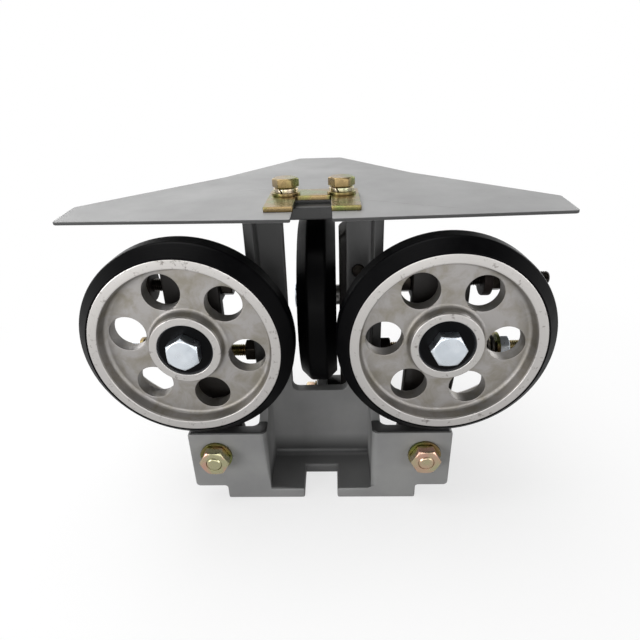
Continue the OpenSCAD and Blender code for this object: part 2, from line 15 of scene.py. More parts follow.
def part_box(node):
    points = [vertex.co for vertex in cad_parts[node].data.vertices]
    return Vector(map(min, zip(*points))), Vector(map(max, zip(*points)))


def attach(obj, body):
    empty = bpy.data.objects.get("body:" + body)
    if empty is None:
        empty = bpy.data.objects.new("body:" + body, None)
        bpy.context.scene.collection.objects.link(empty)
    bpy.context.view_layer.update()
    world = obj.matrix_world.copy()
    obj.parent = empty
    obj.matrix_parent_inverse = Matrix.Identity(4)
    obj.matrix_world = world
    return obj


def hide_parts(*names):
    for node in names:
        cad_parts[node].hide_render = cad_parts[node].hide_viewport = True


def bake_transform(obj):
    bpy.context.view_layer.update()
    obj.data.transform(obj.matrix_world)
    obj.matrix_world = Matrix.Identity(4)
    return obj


MM = 0.001

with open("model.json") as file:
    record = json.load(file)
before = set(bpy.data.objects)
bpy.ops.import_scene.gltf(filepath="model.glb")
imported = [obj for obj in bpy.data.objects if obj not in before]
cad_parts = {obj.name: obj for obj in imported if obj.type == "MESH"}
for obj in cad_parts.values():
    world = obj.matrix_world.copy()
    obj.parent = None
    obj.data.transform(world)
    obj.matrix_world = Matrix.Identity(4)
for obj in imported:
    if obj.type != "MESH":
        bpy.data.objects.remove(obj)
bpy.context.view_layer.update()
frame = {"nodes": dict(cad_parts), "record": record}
nodes = frame["nodes"]
slots = {part["node"]: part["material_slot"] for part in frame["record"]["subparts"]}
bodies = {node: body for body, members in frame["record"]["behaviour"]["bodies"].items() for node in members}

SIDES = ("left", "right", "nose")
ROLLER_CENTRE = {side: sum(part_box(f"{side}_hub"), Vector()) / 2 for side in SIDES}
ROLLER_AXIS = {"left": (0, 1, 0), "right": (0, 1, 0), "nose": (1, 0, 0)}
ROD_AXIS = {"left": (-1, 0, 0), "right": (1, 0, 0), "nose": (0, 1, 0)}

# Sockets of a Mix node that blends two colours
MIX_A, MIX_B, MIX_RESULT = 6, 7, 2


def linear(hex_colour):
    """The linear colour that a shader takes, from an sRGB hex value."""
    channels = [int(hex_colour[i:i + 2], 16) / 255 for i in (1, 3, 5)]
    return (*[c / 12.92 if c <= 0.04045 else ((c + 0.055) / 1.055) ** 2.4 for c in channels], 1.0)


def per_mm(size):
    """Texture scale at which one feature of a pattern is this many millimetres wide."""
    return 1 / (size * MM)


def add(tree, kind, inputs=None, **settings):
    """Add a node. settings are its properties, and inputs its sockets' values or the outputs they link to."""
    node = tree.nodes.new(kind)
    for name, value in settings.items():
        setattr(node, name, value)
    for socket, value in (inputs or {}).items():
        if isinstance(value, bpy.types.NodeSocket):
            tree.links.new(node.inputs[socket], value)
        else:
            node.inputs[socket].default_value = value
    return node


def new_finish(name):
    """An empty node material, its tree and the Object coordinates that its patterns read."""
    material = bpy.data.materials.new(name)
    material.use_nodes = True
    tree = material.node_tree
    tree.nodes.clear()
    return material, tree, add(tree, "ShaderNodeTexCoord").outputs["Object"]


def close_finish(tree, **sockets):
    """End a material in a Principled shader. A socket name is written with _ for its spaces."""
    inputs = {name.replace("_", " "): value for name, value in sockets.items()}
    shader = add(tree, "ShaderNodeBsdfPrincipled", inputs)
    add(tree, "ShaderNodeOutputMaterial", {"Surface": shader.outputs["BSDF"]})


# Materials

def painted_shade_mask(tree, place):
    """Output socket that is 1 where shade is painted onto the frame: painted shade on its upper part under the
    cover, painted shadow of the rollers on top of the ears, thin painted shade on the walls of the channel that
    the rail runs in, and deeper painted shade at its foot, most of all in the corner."""
    ear_top, ear_edge, post_front = 56.3 * MM, 0.9 * MM, -26 * MM
    unshaded_below, dark_above = 58 * MM, 100 * MM
    wall_shade_top, corner_top, corner_foot, floor = 25 * MM, 12 * MM, 9.2 * MM, 8.2 * MM
    channel_half, channel_middle, channel_half_depth = 34.1 * MM, -18 * MM, 18.4 * MM
    thin_shade, floor_shade = 0.3, 0.7
    axes = add(tree, "ShaderNodeSeparateXYZ", {"Vector": place}).outputs
    # Painted shade: darker towards the top of the frame, under the cover
    under_cover_shade = add(tree, "ShaderNodeMapRange", {"Value": axes["Z"], "From Min": unshaded_below, "From Max": dark_above})
    # Painted shade in the channel: thin on its walls, deeper at its foot and in the corner
    wall = add(tree, "ShaderNodeMapRange", {"Value": axes["Z"], "From Min": wall_shade_top, "From Max": corner_top,
                                            "To Min": thin_shade})
    spread = add(tree, "ShaderNodeMapRange", {"Value": axes["Z"], "From Min": floor, "From Max": corner_foot,
                                              "To Min": floor_shade, "To Max": 1.0})
    channel_shade = add(tree, "ShaderNodeMath", {0: wall.outputs[0], 1: spread.outputs[0]}, operation="MULTIPLY")
    across = add(tree, "ShaderNodeMath", {0: axes["X"], 1: 0.0, 2: channel_half}, operation="COMPARE")
    depth = add(tree, "ShaderNodeMath", {0: axes["Y"], 1: channel_middle, 2: channel_half_depth},
                operation="COMPARE")
    inside = add(tree, "ShaderNodeMath", {0: across.outputs[0], 1: depth.outputs[0]}, operation="MULTIPLY")
    in_channel = add(tree, "ShaderNodeMath", {0: channel_shade.outputs[0], 1: inside.outputs[0]}, operation="MULTIPLY")
    # Painted shadow of the rollers on the tops of the ears
    on_top = add(tree, "ShaderNodeMath", {0: axes["Z"], 1: ear_top, 2: ear_edge}, operation="COMPARE")
    ahead = add(tree, "ShaderNodeMath", {0: axes["Y"], 1: post_front}, operation="LESS_THAN")
    ledge = add(tree, "ShaderNodeMath", {0: on_top.outputs[0], 1: ahead.outputs[0]}, operation="MULTIPLY")
    ear_top_shade = add(tree, "ShaderNodeMath", {0: ledge.outputs[0], 1: across.outputs[0]}, operation="SUBTRACT")
    low_shade = add(tree, "ShaderNodeMath", {0: ear_top_shade.outputs[0], 1: in_channel.outputs[0]}, operation="MAXIMUM")
    shade_mask = add(tree, "ShaderNodeMath", {0: under_cover_shade.outputs[0], 1: low_shade.outputs[0]}, operation="MAXIMUM")
    return shade_mask.outputs[0]


def enamel_on_casting(name, paint, rubbed, shade_colour, roughness, grain_depth):
    """Machine enamel over a sand casting: a soft sheen, sand grain under the paint, paler where hands rub it, and
    darker where shade is painted in."""
    grain_size, patch_size, smoother, duller = 2.2, 38, 0.07, 0.09
    material, tree, place = new_finish(name)
    grain = add(tree, "ShaderNodeTexNoise", {"Vector": place, "Scale": per_mm(grain_size), "Detail": 5,
                                             "Roughness": 0.6})
    patches = add(tree, "ShaderNodeTexNoise", {"Vector": place, "Scale": per_mm(patch_size), "Detail": 4,
                                               "Roughness": 0.55})
    rub = add(tree, "ShaderNodeMapRange", {"Value": patches.outputs[0], "From Min": 0.38, "From Max": 0.66})
    worn = add(tree, "ShaderNodeMix", {0: rub.outputs[0], MIX_A: linear(paint), MIX_B: linear(rubbed)},
               data_type="RGBA")
    # Painted shade: the paint turns to its shade colour where the frame is shaded
    colour = add(tree, "ShaderNodeMix", {0: painted_shade_mask(tree, place), MIX_A: worn.outputs[MIX_RESULT],
                                         MIX_B: linear(shade_colour)}, data_type="RGBA")
    gloss = add(tree, "ShaderNodeMapRange", {"Value": patches.outputs[0], "From Min": 0.3, "From Max": 0.7,
                                             "To Min": roughness - smoother, "To Max": roughness + duller})
    bump = add(tree, "ShaderNodeBump", {"Height": grain.outputs[0], "Strength": 0.35,
                                        "Distance": grain_depth * MM})
    close_finish(tree, Base_Color=colour.outputs[MIX_RESULT], Roughness=gloss.outputs[0], Normal=bump.outputs[0])
    return material


def pressed_crease(tree, place, start, end):
    """Output socket with the height of a faint crease that handling left in the sheet, between two points given
    as X and Y in mm."""
    half_width, run_out = 1.6 * MM, 9 * MM
    first, last = Vector((*start, 0)) * MM, Vector((*end, 0)) * MM
    line = (last - first).normalized()
    half = (last - first).length / 2
    offset = add(tree, "ShaderNodeVectorMath", {0: place, 1: (first + last) / 2}, operation="SUBTRACT")
    along = add(tree, "ShaderNodeVectorMath", {0: offset.outputs[0], 1: line}, operation="DOT_PRODUCT")
    aside = add(tree, "ShaderNodeVectorMath", {0: offset.outputs[0], 1: (-line.y, line.x, 0)},
                operation="DOT_PRODUCT")
    reach = add(tree, "ShaderNodeMath", {0: along.outputs["Value"]}, operation="ABSOLUTE")
    distance = add(tree, "ShaderNodeMath", {0: aside.outputs["Value"]}, operation="ABSOLUTE")
    ridge = add(tree, "ShaderNodeMapRange", {"Value": distance.outputs[0], "From Min": half_width,
                                             "From Max": 0.0}, interpolation_type="SMOOTHSTEP")
    fade = add(tree, "ShaderNodeMapRange", {"Value": reach.outputs[0], "From Min": half,
                                            "From Max": half - run_out})
    return add(tree, "ShaderNodeMath", {0: ridge.outputs[0], 1: fade.outputs[0]}, operation="MULTIPLY").outputs[0]


def powder_coat_on_sheet(name):
    """Pale grey powder coat on sheet steel: even and satin, a faint orange peel, smudges, a few fine scuffs and
    two creases, with painted shade darkening the sheet's sheared edge faces."""
    peel_size, smudge_size, speck_size, edge_round = 1.8, 45, 5, 0.25 * MM
    right_crease, left_crease = ((28, 8), (82, -20)), ((-52, 40), (-30, 46))
    low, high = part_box("dust_cover")
    mid_height, edge_half = (low.z + high.z) / 2, (high.z - low.z) / 2 - edge_round
    material, tree, place = new_finish(name)
    peel = add(tree, "ShaderNodeTexNoise", {"Vector": place, "Scale": per_mm(peel_size), "Detail": 2})
    smudge = add(tree, "ShaderNodeTexNoise", {"Vector": place, "Scale": per_mm(smudge_size), "Detail": 5,
                                              "Roughness": 0.6})
    speck = add(tree, "ShaderNodeTexNoise", {"Vector": place, "Scale": per_mm(speck_size), "Detail": 3,
                                             "Roughness": 0.6})
    specks = add(tree, "ShaderNodeMapRange", {"Value": speck.outputs[0], "From Min": 0.7, "From Max": 0.8})
    tone = add(tree, "ShaderNodeMapRange", {"Value": smudge.outputs[0], "From Min": 0.35, "From Max": 0.68})
    colour = add(tree, "ShaderNodeMix", {0: tone.outputs[0], MIX_A: linear("#979797"), MIX_B: linear("#909090")},
                 data_type="RGBA")
    scuffed = add(tree, "ShaderNodeMix", {0: specks.outputs[0], MIX_A: colour.outputs[MIX_RESULT],
                                          MIX_B: linear("#7E7E7D")}, data_type="RGBA")
    height = add(tree, "ShaderNodeSeparateXYZ", {"Vector": place}).outputs["Z"]
    # Painted shade: the sheet's edge faces, between its top and underside, are painted dark
    on_edge = add(tree, "ShaderNodeMath", {0: height, 1: mid_height, 2: edge_half}, operation="COMPARE")
    edge_painted_shade = add(tree, "ShaderNodeMix", {0: on_edge.outputs[0], MIX_A: scuffed.outputs[MIX_RESULT],
                                        MIX_B: linear("#4E4E4E")}, data_type="RGBA")
    gloss = add(tree, "ShaderNodeMapRange", {"Value": smudge.outputs[0], "From Min": 0.3, "From Max": 0.7,
                                             "To Min": 0.42, "To Max": 0.56})
    peel_bump = add(tree, "ShaderNodeBump", {"Height": peel.outputs[0], "Strength": 0.15, "Distance": 0.12 * MM})
    creases = add(tree, "ShaderNodeMath", {0: pressed_crease(tree, place, *right_crease),
                                           1: pressed_crease(tree, place, *left_crease)})
    bump = add(tree, "ShaderNodeBump", {"Height": creases.outputs[0], "Strength": 1.0, "Distance": 0.4 * MM,
                                        "Normal": peel_bump.outputs[0]})
    close_finish(tree, Base_Color=edge_painted_shade.outputs[MIX_RESULT], Roughness=gloss.outputs[0], Specular_IOR_Level=0.3,
                 Normal=bump.outputs[0])
    return material


def distance_from_axle(tree, place, side):
    """Output socket with a point's distance from a roller's axle, for patterns that were turned on a lathe."""
    offset = add(tree, "ShaderNodeVectorMath", {0: place, 1: ROLLER_CENTRE[side]}, operation="SUBTRACT")
    across = add(tree, "ShaderNodeVectorMath", {0: offset.outputs[0], 1: [1 - a for a in ROLLER_AXIS[side]]},
                 operation="MULTIPLY")
    return add(tree, "ShaderNodeVectorMath", {0: across.outputs[0]}, operation="LENGTH").outputs["Value"]


def cast_and_turned_aluminium(side):
    """Sand-cast aluminium wheel: dull warm skin with stains on the web, bright lathe rings and nicks on the rim
    and boss."""
    rim_inside, boss_outside, feed, ring_share = 49.4 * MM, 20.9 * MM, 0.9 * MM, 0.12
    skin_size, stain_size, nick_size = 1.6, 13, 3.2
    material, tree, place = new_finish(f"cast_aluminium_{side}_wheel")
    radius = distance_from_axle(tree, place, side)
    on_rim = add(tree, "ShaderNodeMath", {0: radius, 1: rim_inside}, operation="GREATER_THAN")
    on_boss = add(tree, "ShaderNodeMath", {0: radius, 1: boss_outside}, operation="LESS_THAN")
    turned = add(tree, "ShaderNodeMath", {0: on_rim.outputs[0], 1: on_boss.outputs[0]}, operation="MAXIMUM")
    skin = add(tree, "ShaderNodeTexNoise", {"Vector": place, "Scale": per_mm(skin_size), "Detail": 5,
                                            "Roughness": 0.65})
    stain = add(tree, "ShaderNodeTexNoise", {"Vector": place, "Scale": per_mm(stain_size), "Detail": 5,
                                             "Roughness": 0.62, "Distortion": 0.5})
    stained = add(tree, "ShaderNodeMapRange", {"Value": stain.outputs[0], "From Min": 0.4, "From Max": 0.66})
    cast = add(tree, "ShaderNodeMix", {0: stained.outputs[0], MIX_A: linear("#A09D9B"), MIX_B: linear("#8A857B")},
               data_type="RGBA")
    nick = add(tree, "ShaderNodeTexNoise", {"Vector": place, "Scale": per_mm(nick_size), "Detail": 3,
                                            "Roughness": 0.7})
    nicks = add(tree, "ShaderNodeMapRange", {"Value": nick.outputs[0], "From Min": 0.6, "From Max": 0.72})
    bright = add(tree, "ShaderNodeMix", {0: nicks.outputs[0], MIX_A: linear("#C4C1BE"), MIX_B: linear("#8C8783")},
                 data_type="RGBA")
    colour = add(tree, "ShaderNodeMix", {0: turned.outputs[0], MIX_A: cast.outputs[MIX_RESULT],
                                         MIX_B: bright.outputs[MIX_RESULT]}, data_type="RGBA")
    turns = add(tree, "ShaderNodeMath", {0: radius, 1: 2 * math.pi / feed}, operation="MULTIPLY")
    rings = add(tree, "ShaderNodeMath", {0: turns.outputs[0]}, operation="SINE")
    ring_height = add(tree, "ShaderNodeMath", {0: rings.outputs[0], 1: ring_share}, operation="MULTIPLY")
    height = add(tree, "ShaderNodeMix", {0: turned.outputs[0], 2: skin.outputs[0], 3: ring_height.outputs[0]},
                 data_type="FLOAT")
    bump = add(tree, "ShaderNodeBump", {"Height": height.outputs[0], "Strength": 0.4, "Distance": 0.2 * MM})
    gloss = add(tree, "ShaderNodeMapRange", {"Value": turned.outputs[0], "To Min": 0.5, "To Max": 0.34})
    close_finish(tree, Base_Color=colour.outputs[MIX_RESULT], Metallic=0.85, Roughness=gloss.outputs[0],
                 Normal=bump.outputs[0])
    return material


def moulded_tyre_rubber(side):
    """Black moulded rubber: deep black with a soft sheen, fine mould rings round the axle and a trace of dust."""
    ring_pitch, dust_size = 1.1, 9
    material, tree, place = new_finish(f"moulded_rubber_{side}_tyre")
    radius = distance_from_axle(tree, place, side)
    mould = add(tree, "ShaderNodeMath", {0: radius, 1: per_mm(ring_pitch) * 2 * math.pi}, operation="MULTIPLY")
    rings = add(tree, "ShaderNodeMath", {0: mould.outputs[0]}, operation="SINE")
    dust = add(tree, "ShaderNodeTexNoise", {"Vector": place, "Scale": per_mm(dust_size), "Detail": 6,
                                            "Roughness": 0.7})
    dusted = add(tree, "ShaderNodeMapRange", {"Value": dust.outputs[0], "From Min": 0.45, "From Max": 0.75})
    colour = add(tree, "ShaderNodeMix", {0: dusted.outputs[0], MIX_A: linear("#020203"), MIX_B: linear("#060607")},
                 data_type="RGBA")
    gloss = add(tree, "ShaderNodeMapRange", {"Value": dust.outputs[0], "From Min": 0.3, "From Max": 0.7,
                                             "To Min": 0.38, "To Max": 0.5})
    bump = add(tree, "ShaderNodeBump", {"Height": rings.outputs[0], "Strength": 0.05, "Distance": 0.1 * MM})
    close_finish(tree, Base_Color=colour.outputs[MIX_RESULT], Roughness=gloss.outputs[0], Specular_IOR_Level=0.06,
                 Normal=bump.outputs[0])
    return material


def moulded_buffer_rubber():
    """Brown-black moulded rubber of the stop buffers: matt, with a faint bloom."""
    bloom_size = 4
    material, tree, place = new_finish("moulded_rubber_buffer")
    bloom = add(tree, "ShaderNodeTexNoise", {"Vector": place, "Scale": per_mm(bloom_size), "Detail": 5,
                                             "Roughness": 0.65})
    colour = add(tree, "ShaderNodeMix", {0: bloom.outputs[0], MIX_A: linear("#17110F"), MIX_B: linear("#2C211D")},
                 data_type="RGBA")
    gloss = add(tree, "ShaderNodeMapRange", {"Value": bloom.outputs[0], "To Min": 0.5, "To Max": 0.7})
    close_finish(tree, Base_Color=colour.outputs[MIX_RESULT], Roughness=gloss.outputs[0], Specular_IOR_Level=0.25)
    return material


def sealed_bearing(side):
    """Sealed ball bearing: ground steel outer ring, then a black rubber seal down to the bore."""
    seal_edge, haze_size = 15.3 * MM, 4
    material, tree, place = new_finish(f"ground_steel_{side}_bearing")
    radius = distance_from_axle(tree, place, side)
    steel = add(tree, "ShaderNodeMath", {0: radius, 1: seal_edge}, operation="GREATER_THAN")
    haze = add(tree, "ShaderNodeTexNoise", {"Vector": place, "Scale": per_mm(haze_size), "Detail": 4})
    colour = add(tree, "ShaderNodeMix", {0: steel.outputs[0], MIX_A: linear("#040405"), MIX_B: linear("#2E2F32")},
                 data_type="RGBA")
    gloss = add(tree, "ShaderNodeMapRange", {"Value": haze.outputs[0], "To Min": 0.3, "To Max": 0.5})
    close_finish(tree, Base_Color=colour.outputs[MIX_RESULT], Metallic=steel.outputs[0],
                 Roughness=gloss.outputs[0], Specular_IOR_Level=0.08)
    return material


def plated_steel(name, base, tint, second_tint, roughness, patch):
    """Zinc plate over steel, or another bare metal: bright, slightly cloudy, with the colours of its skin drifting
    in soft patches that are so many mm wide."""
    haze_size, smoother, duller = 5, 0.04, 0.06
    material, tree, place = new_finish(name)
    cloud = add(tree, "ShaderNodeTexNoise", {"Vector": place, "Scale": per_mm(patch), "Detail": 1,
                                             "Distortion": 0.4})
    first = add(tree, "ShaderNodeMapRange", {"Value": cloud.outputs[0], "From Min": 0.42, "From Max": 0.62})
    second = add(tree, "ShaderNodeMapRange", {"Value": cloud.outputs[0], "From Min": 0.56, "From Max": 0.36})
    warm = add(tree, "ShaderNodeMix", {0: first.outputs[0], MIX_A: linear(base), MIX_B: linear(tint)},
               data_type="RGBA")
    colour = add(tree, "ShaderNodeMix", {0: second.outputs[0], MIX_A: warm.outputs[MIX_RESULT],
                                         MIX_B: linear(second_tint)}, data_type="RGBA")
    haze = add(tree, "ShaderNodeTexNoise", {"Vector": place, "Scale": per_mm(haze_size), "Detail": 2})
    gloss = add(tree, "ShaderNodeMapRange", {"Value": haze.outputs[0], "From Min": 0.3, "From Max": 0.7,
                                             "To Min": roughness - smoother, "To Max": roughness + duller})
    close_finish(tree, Base_Color=colour.outputs[MIX_RESULT], Metallic=1.0, Roughness=gloss.outputs[0])
    return material


finishes = {
    # The third colour of each enamel is the colour of its painted shade
    "frame_paint": enamel_on_casting("grey_enamel_on_cast_iron", "#8E8E8E", "#9B9B9A", "#393939",
                                     roughness=0.46, grain_depth=0.22),
    "arm_paint": enamel_on_casting("black_enamel_on_cast_iron", "#1E1A17", "#2E2823", "#1B1715",
                                   roughness=0.5, grain_depth=0.25),
    "cover_sheet": powder_coat_on_sheet("grey_powder_coat_on_sheet_steel"),
    "yellow_zinc": plated_steel("yellow_zinc_plated_steel", "#82764B", "#887553", "#737949",
                                roughness=0.27, patch=14),
    "white_zinc": plated_steel("white_zinc_plated_steel", "#DCE3EA", "#D4DBE2", "#E0E6EC",
                               roughness=0.3, patch=9),
    "black_steel": plated_steel("black_oxide_steel", "#3B3733", "#45403A", "#332F2C",
                                roughness=0.36, patch=5),
    "bright_steel": plated_steel("ground_bright_steel", "#C4C4C3", "#B6B5B3", "#CFCFCE",
                                 roughness=0.32, patch=5),
    "spring_steel": plated_steel("phosphated_spring_steel", "#5A5753", "#6B665F", "#4B4946",
                                 roughness=0.4, patch=5),
    "tyre_rubber": moulded_buffer_rubber(),
    "bronze": plated_steel("sintered_bronze", "#A8793F", "#94672F", "#B98B52", roughness=0.42, patch=3),
}
pink_zinc = plated_steel("pink_yellow_zinc_plated_steel", "#D2B29A", "#D4A896", "#BCB894",
                         roughness=0.27, patch=12)
for side in SIDES:
    finishes[f"{side}_hub"] = cast_and_turned_aluminium(side)
    finishes[f"{side}_tyre"] = moulded_tyre_rubber(side)
    finishes[f"{side}_bearings"] = sealed_bearing(side)
    finishes[f"{side}_pivot_bolt"] = pink_zinc
finishes["pivot_nuts"] = pink_zinc
finishes["cover_spring_washers"] = plated_steel("pale_zinc_plated_spring_steel", "#C6C0A4", "#CBBDA6", "#BDBF9F",
                                                roughness=0.27, patch=8)


def finish_of(node):
    """A node's own finish where it has one, or else that of its slot."""
    return finishes.get(node) or finishes[slots[node]]


for name, node in nodes.items():
    node.data.materials.clear()
    node.data.materials.append(finish_of(name))


# Shapes

def stand_for(mesh, name, node):
    """Make a mesh the piece that stands for a CAD node and finish. It has no body yet."""
    piece = bpy.data.objects.new(name, mesh)
    bpy.context.scene.collection.objects.link(piece)
    mesh.materials.clear()
    mesh.materials.append(finish_of(node))
    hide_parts(node)
    return piece


def baked(piece):
    """The plain mesh that an object's modifiers make of it."""
    graph = bpy.context.evaluated_depsgraph_get()
    mesh = bpy.data.meshes.new_from_object(piece.evaluated_get(graph))
    bpy.data.objects.remove(piece)
    return mesh


def round_off(solid, edges, radius, segments):
    """Round the given edges of a bmesh to a radius in mm."""
    bmesh.ops.bevel(solid, geom=edges, offset=radius * MM, offset_type="OFFSET", segments=segments, profile=0.5,
                    affect="EDGES", clamp_overlap=False, miter_outer="ARC", loop_slide=False)


def mouth_edges(solid):
    """The two upright edges of the frame's casting where its front face turns into the channel."""
    channel_half, tolerance = 34 * MM, 0.05 * MM
    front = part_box("base_frame")[0].y
    return [edge for edge in solid.edges if edge.is_convex
            and all(abs(abs(vert.co.x) - channel_half) < tolerance for vert in edge.verts)
            and all(abs(vert.co.y - front) < tolerance for vert in edge.verts)]


def with_soft_edges(node, radius, join_flats):
    """Replace a CAD node by a copy whose outer corners are rounded, as they are on the cast or pressed piece.
    join_flats first merges the triangles of its flat sides, which keeps the corners of a block even."""
    sharp, flat, weld, sliver = math.radians(32), math.radians(0.5), 0.002 * MM, 0.001 * MM
    solid = bmesh.new()
    solid.from_mesh(nodes[node].data)
    bmesh.ops.remove_doubles(solid, verts=solid.verts, dist=weld)
    if join_flats:
        bmesh.ops.dissolve_limit(solid, angle_limit=flat, verts=solid.verts, edges=solid.edges)
    if node == "base_frame":
        round_off(solid, mouth_edges(solid), radius=4, segments=5)
    corners = [e for e in solid.edges if e.is_manifold and e.is_convex and e.calc_face_angle() > sharp]
    round_off(solid, corners, radius, segments=2)
    bmesh.ops.triangulate(solid, faces=[face for face in solid.faces if len(face.verts) > 4])
    bmesh.ops.remove_doubles(solid, verts=solid.verts, dist=sliver)
    mesh = bpy.data.meshes.new(f"{node}_rounded")
    solid.to_mesh(mesh)
    solid.free()
    mesh.shade_smooth()
    mesh.set_sharp_from_angle(angle=sharp)
    blank = bpy.data.objects.new(f"{node}_blank", mesh)
    bpy.context.scene.collection.objects.link(blank)
    blank.modifiers.new("flat_sides", "WEIGHTED_NORMAL").keep_sharp = True
    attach(stand_for(baked(blank), f"{node}_dressed", node), bodies[node])


# Corner radii in mm of the pieces whose edges show
EDGE_RADIUS = {"base_frame": 1.2, "dust_cover": 0.5, "retainer_plate": 0.5, "cover_bolts": 0.3,
               "cover_washers": 0.3, "cover_spring_washers": 0.3, "pivot_nuts": 0.3, "pivot_washers": 0.3,
               "stop_buffers": 0.8, "rod_anchor_nuts": 0.3, "stop_nuts": 0.3, "spring_nuts": 0.3}
for side in SIDES:
    EDGE_RADIUS[f"{side}_arm"] = 1.2
    EDGE_RADIUS[f"{side}_hub"] = 0.5
    EDGE_RADIUS[f"{side}_axle_bolt"] = 0.3
    EDGE_RADIUS[f"{side}_axle_nut"] = 0.3
    EDGE_RADIUS[f"{side}_pivot_bolt"] = 0.3
for node, radius in EDGE_RADIUS.items():
    with_soft_edges(node, radius, join_flats=not node.endswith("hub"))


def new_shape(name, **inputs):
    """A Geometry Nodes tree with its named inputs, given by kind, and the outputs of their node. An input's name
    is written with _ for its spaces, and every tree also takes a finish."""
    tree = bpy.data.node_groups.new(name, "GeometryNodeTree")
    tree.interface.new_socket("Geometry", in_out="OUTPUT", socket_type="NodeSocketGeometry")
    for label, kind in (inputs | {"Finish": "Material"}).items():
        tree.interface.new_socket(label.replace("_", " "), in_out="INPUT", socket_type=f"NodeSocket{kind}")
    return tree, add(tree, "NodeGroupInput").outputs


def close_shape(tree, given, geometry):
    """End a tree: real geometry with the finish that it was given."""
    real = add(tree, "GeometryNodeRealizeInstances", {"Geometry": geometry})
    finished = add(tree, "GeometryNodeSetMaterial", {"Geometry": real.outputs[0], "Material": given["Finish"]})
    add(tree, "NodeGroupOutput", {"Geometry": finished.outputs[0]})
    return tree


def helix_tree():
    """Geometry Nodes tree that sweeps a round wire along a helix about Z, with a closed coil at each end."""
    tree, given = new_shape("helix_sweep", Helix_radius="Float", Length="Float", Turns="Float", End_coils="Float",
                            Wire_radius="Float", Wire_corners="Int", Points="Int")
    line = add(tree, "GeometryNodeCurvePrimitiveLine")
    points = add(tree, "GeometryNodeResampleCurve", {"Curve": line.outputs[0], "Count": given["Points"]})
    along = add(tree, "GeometryNodeSplineParameter").outputs["Factor"]
    full_turn = add(tree, "ShaderNodeMath", {0: given["Turns"], 1: 2 * math.pi}, operation="MULTIPLY")
    angle = add(tree, "ShaderNodeMath", {0: along, 1: full_turn.outputs[0]}, operation="MULTIPLY")
    cosine = add(tree, "ShaderNodeMath", {0: angle.outputs[0]}, operation="COSINE")
    sine = add(tree, "ShaderNodeMath", {0: angle.outputs[0]}, operation="SINE")
    x = add(tree, "ShaderNodeMath", {0: cosine.outputs[0], 1: given["Helix radius"]}, operation="MULTIPLY")
    y = add(tree, "ShaderNodeMath", {0: sine.outputs[0], 1: given["Helix radius"]}, operation="MULTIPLY")
    # The end coils lie one wire apart, and the turns between them share the rest of the length
    wire = add(tree, "ShaderNodeMath", {0: given["Wire radius"], 1: 2}, operation="MULTIPLY")
    end_share = add(tree, "ShaderNodeMath", {0: given["End coils"], 1: given["Turns"]}, operation="DIVIDE")
    far_share = add(tree, "ShaderNodeMath", {0: 1.0, 1: end_share.outputs[0]}, operation="SUBTRACT")
    end_rise = add(tree, "ShaderNodeMath", {0: wire.outputs[0], 1: given["End coils"]}, operation="MULTIPLY")
    ends = add(tree, "ShaderNodeMath", {0: end_rise.outputs[0], 1: 2, 2: wire.outputs[0]},
               operation="MULTIPLY_ADD")
    free_rise = add(tree, "ShaderNodeMath", {0: given["Length"], 1: ends.outputs[0]}, operation="SUBTRACT")
    low_top = add(tree, "ShaderNodeMath", {0: given["Wire radius"], 1: end_rise.outputs[0]})
    low = add(tree, "ShaderNodeMapRange", {"Value": along, "From Max": end_share.outputs[0],
                                           "To Min": given["Wire radius"], "To Max": low_top.outputs[0]})
    middle = add(tree, "ShaderNodeMapRange", {"Value": along, "From Min": end_share.outputs[0],
                                              "From Max": far_share.outputs[0], "To Max": free_rise.outputs[0]})
    high = add(tree, "ShaderNodeMapRange", {"Value": along, "From Min": far_share.outputs[0], "From Max": 1.0,
                                            "To Max": end_rise.outputs[0]})
    lower = add(tree, "ShaderNodeMath", {0: low.outputs[0], 1: middle.outputs[0]})
    z = add(tree, "ShaderNodeMath", {0: lower.outputs[0], 1: high.outputs[0]})
    place = add(tree, "ShaderNodeCombineXYZ", {"X": x.outputs[0], "Y": y.outputs[0], "Z": z.outputs[0]})
    helix = add(tree, "GeometryNodeSetPosition", {"Geometry": points.outputs[0], "Position": place.outputs[0]})
    upright = add(tree, "GeometryNodeSetCurveNormal", {"Curve": helix.outputs[0]}, mode="Z_UP")
    section = add(tree, "GeometryNodeCurvePrimitiveCircle", {"Resolution": given["Wire corners"],
                                                             "Radius": given["Wire radius"]})
    swept = add(tree, "GeometryNodeCurveToMesh", {"Curve": upright.outputs[0], "Profile Curve": section.outputs[0],
                                                  "Fill Caps": True})
    return close_shape(tree, given, swept.outputs[0])


